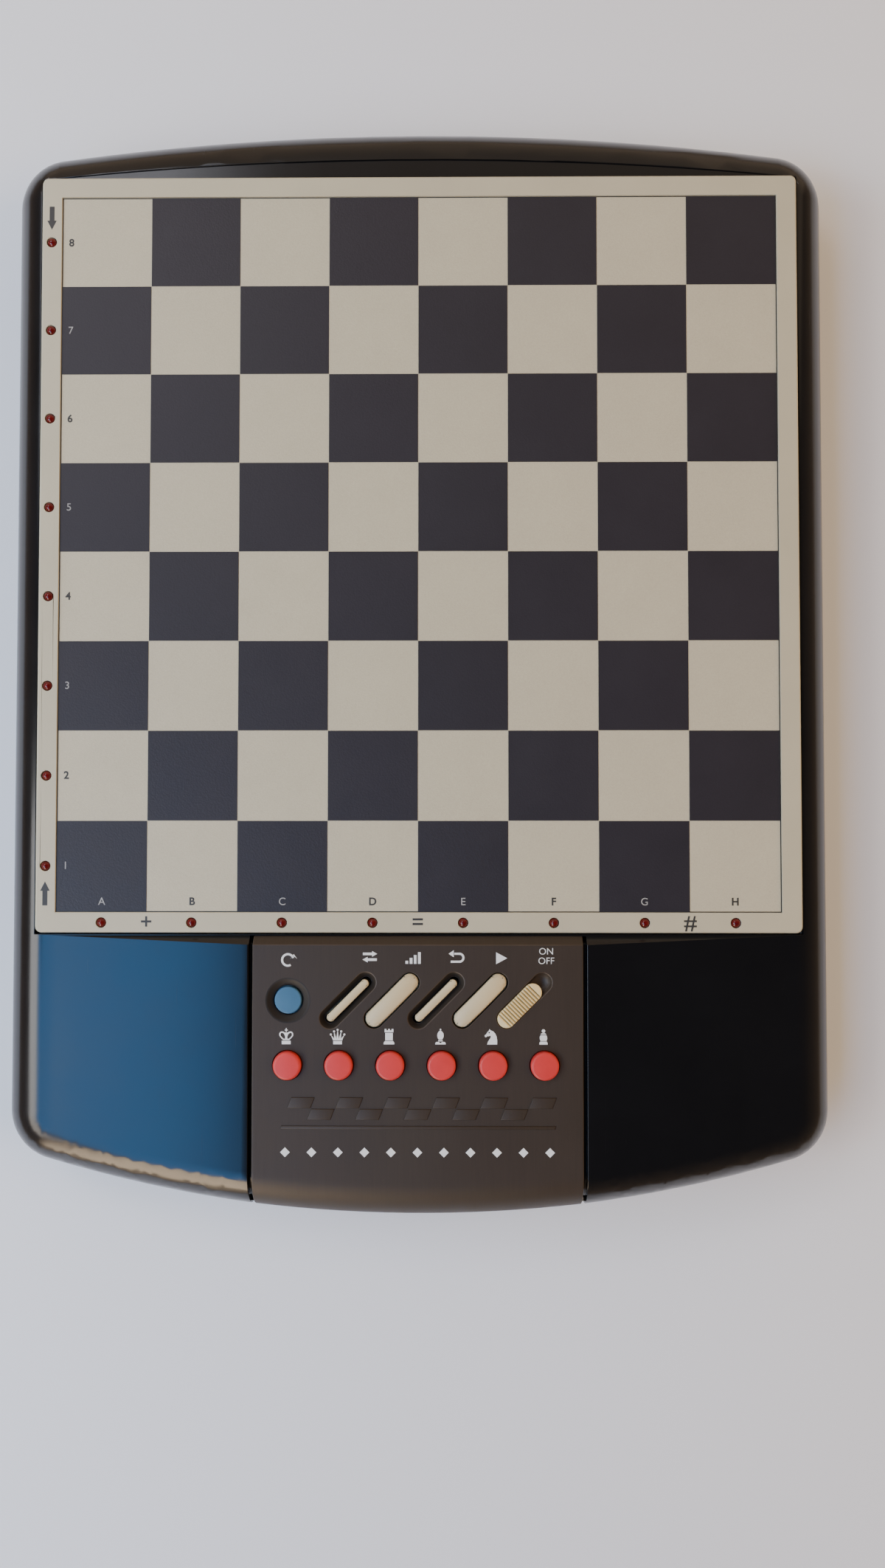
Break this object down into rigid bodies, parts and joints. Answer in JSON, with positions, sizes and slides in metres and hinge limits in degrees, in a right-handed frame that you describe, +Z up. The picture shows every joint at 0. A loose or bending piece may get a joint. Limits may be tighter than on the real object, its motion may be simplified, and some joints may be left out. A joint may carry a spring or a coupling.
{
  "type": "chess computer",
  "caption": "Flat tabletop chess computer: pressure-sensing board edged with lamps in a bowed black casing, with a front panel of round buttons, slanted keys and a slide switch.",
  "frame": {"origin": "on the table under the middle of the casing", "axes": "+X across the board to the player's right, +Y from the player to the far rank, +Z up"},
  "size_m": [0.2588, 0.3448, 0.0346],
  "materials": {
    "case_gloss_black": "gloss",
    "tray_black": "fine matte grain",
    "panel_grey": "matte",
    "frame_cream": "satin",
    "sheet_cream": "fine matte grain",
    "square_dark": "fine matte grain",
    "button_red": "satin",
    "button_blue": "satin",
    "key_cream": "satin",
    "lamp_red": "gloss",
    "film_clear": "satin",
    "rubber_grey": "matte",
    "rubber_black": "matte",
    "circuit_board": "satin",
    "chip_black": "matte",
    "connector_white": "satin",
    "resonator_tan": "satin",
    "can_silver": "satin",
    "screw_steel": "satin",
    "contact_steel": "satin",
    "buzzer_brass": "satin",
    "cell_wrap": "gloss",
    "socket_black": "satin",
    "ribbon_grey": "satin",
    "lead_red_black": "satin"
  },
  "bodies": {
    "casing": {"upper_case": "case_gloss_black", "lower_case": "tray_black", "control_panel": "panel_grey", "board_frame": "frame_cream", "playing_sheet": "sheet_cream", "dark_squares": "square_dark", "rank_leds": "lamp_red", "file_leds": "lamp_red", "membrane_top": "film_clear", "membrane_spacer": "film_clear", "membrane_bottom": "film_clear", "membrane_tail": "film_clear", "keypad_mat": "rubber_grey", "rubber_feet": "rubber_black", "main_board": "circuit_board", "keypad_board": "circuit_board", "rank_led_board": "circuit_board", "file_led_board": "circuit_board", "microcontroller": "chip_black", "driver_chips": "chip_black", "slide_switch": "chip_black", "membrane_connector": "connector_white", "ceramic_resonator": "resonator_tan", "capacitors": "can_silver", "frame_screws": "screw_steel", "panel_screws": "screw_steel", "keypad_screws": "screw_steel", "led_board_screws": "screw_steel", "main_board_screws": "screw_steel", "case_screws": "screw_steel", "battery_contacts": "contact_steel", "buzzer": "buzzer_brass", "batteries": "cell_wrap", "dc_socket": "socket_black", "keypad_ribbon": "ribbon_grey", "rank_led_ribbon": "ribbon_grey", "file_led_ribbon": "ribbon_grey", "battery_leads": "lead_red_black", "socket_leads": "lead_red_black", "buzzer_leads": "lead_red_black"},
    "king_button": {"king_button": "button_red"},
    "queen_button": {"queen_button": "button_red"},
    "rook_button": {"rook_button": "button_red"},
    "bishop_button": {"bishop_button": "button_red"},
    "knight_button": {"knight_button": "button_red"},
    "pawn_button": {"pawn_button": "button_red"},
    "new_game_button": {"new_game_button": "button_blue"},
    "mode_key": {"mode_key": "key_cream"},
    "level_key": {"level_key": "key_cream"},
    "take_back_key": {"take_back_key": "key_cream"},
    "play_key": {"play_key": "key_cream"},
    "go_stop_slider": {"go_stop_slider": "key_cream"},
    "battery_door": {"battery_door": "tray_black"}
  },
  "joints": [
    {"name": "king_press", "type": "slide", "parent": "casing", "child": "king_button", "axis": [0, 0, -1], "range_m": [0, 0.0012], "stiffness_N_per_m": 600, "deforming": ["keypad_mat"]},
    {"name": "queen_press", "type": "slide", "parent": "casing", "child": "queen_button", "axis": [0, 0, -1], "range_m": [0, 0.0012], "stiffness_N_per_m": 600, "deforming": ["keypad_mat"]},
    {"name": "rook_press", "type": "slide", "parent": "casing", "child": "rook_button", "axis": [0, 0, -1], "range_m": [0, 0.0012], "stiffness_N_per_m": 600, "deforming": ["keypad_mat"]},
    {"name": "bishop_press", "type": "slide", "parent": "casing", "child": "bishop_button", "axis": [0, 0, -1], "range_m": [0, 0.0012], "stiffness_N_per_m": 600, "deforming": ["keypad_mat"]},
    {"name": "knight_press", "type": "slide", "parent": "casing", "child": "knight_button", "axis": [0, 0, -1], "range_m": [0, 0.0012], "stiffness_N_per_m": 600, "deforming": ["keypad_mat"]},
    {"name": "pawn_press", "type": "slide", "parent": "casing", "child": "pawn_button", "axis": [0, 0, -1], "range_m": [0, 0.0012], "stiffness_N_per_m": 600, "deforming": ["keypad_mat"]},
    {"name": "new_game_press", "type": "slide", "parent": "casing", "child": "new_game_button", "axis": [0, 0, -1], "range_m": [0, 0.0012], "stiffness_N_per_m": 600, "deforming": ["keypad_mat"]},
    {"name": "mode_press", "type": "slide", "parent": "casing", "child": "mode_key", "axis": [0, 0, -1], "range_m": [0, 0.0012], "stiffness_N_per_m": 600, "deforming": ["keypad_mat"]},
    {"name": "level_press", "type": "slide", "parent": "casing", "child": "level_key", "axis": [0, 0, -1], "range_m": [0, 0.0012], "stiffness_N_per_m": 600, "deforming": ["keypad_mat"]},
    {"name": "take_back_press", "type": "slide", "parent": "casing", "child": "take_back_key", "axis": [0, 0, -1], "range_m": [0, 0.0012], "stiffness_N_per_m": 600, "deforming": ["keypad_mat"]},
    {"name": "play_press", "type": "slide", "parent": "casing", "child": "play_key", "axis": [0, 0, -1], "range_m": [0, 0.0012], "stiffness_N_per_m": 600, "deforming": ["keypad_mat"]},
    {"name": "go_stop_slide", "type": "slide", "parent": "casing", "child": "go_stop_slider", "axis": [0.7071, 0.7071, 0], "range_m": [0, 0.0042]},
    {"name": "battery_door_pull", "type": "slide", "parent": "casing", "child": "battery_door", "axis": [0, 0, -1], "range_m": [0, 0.025]}
  ]
}
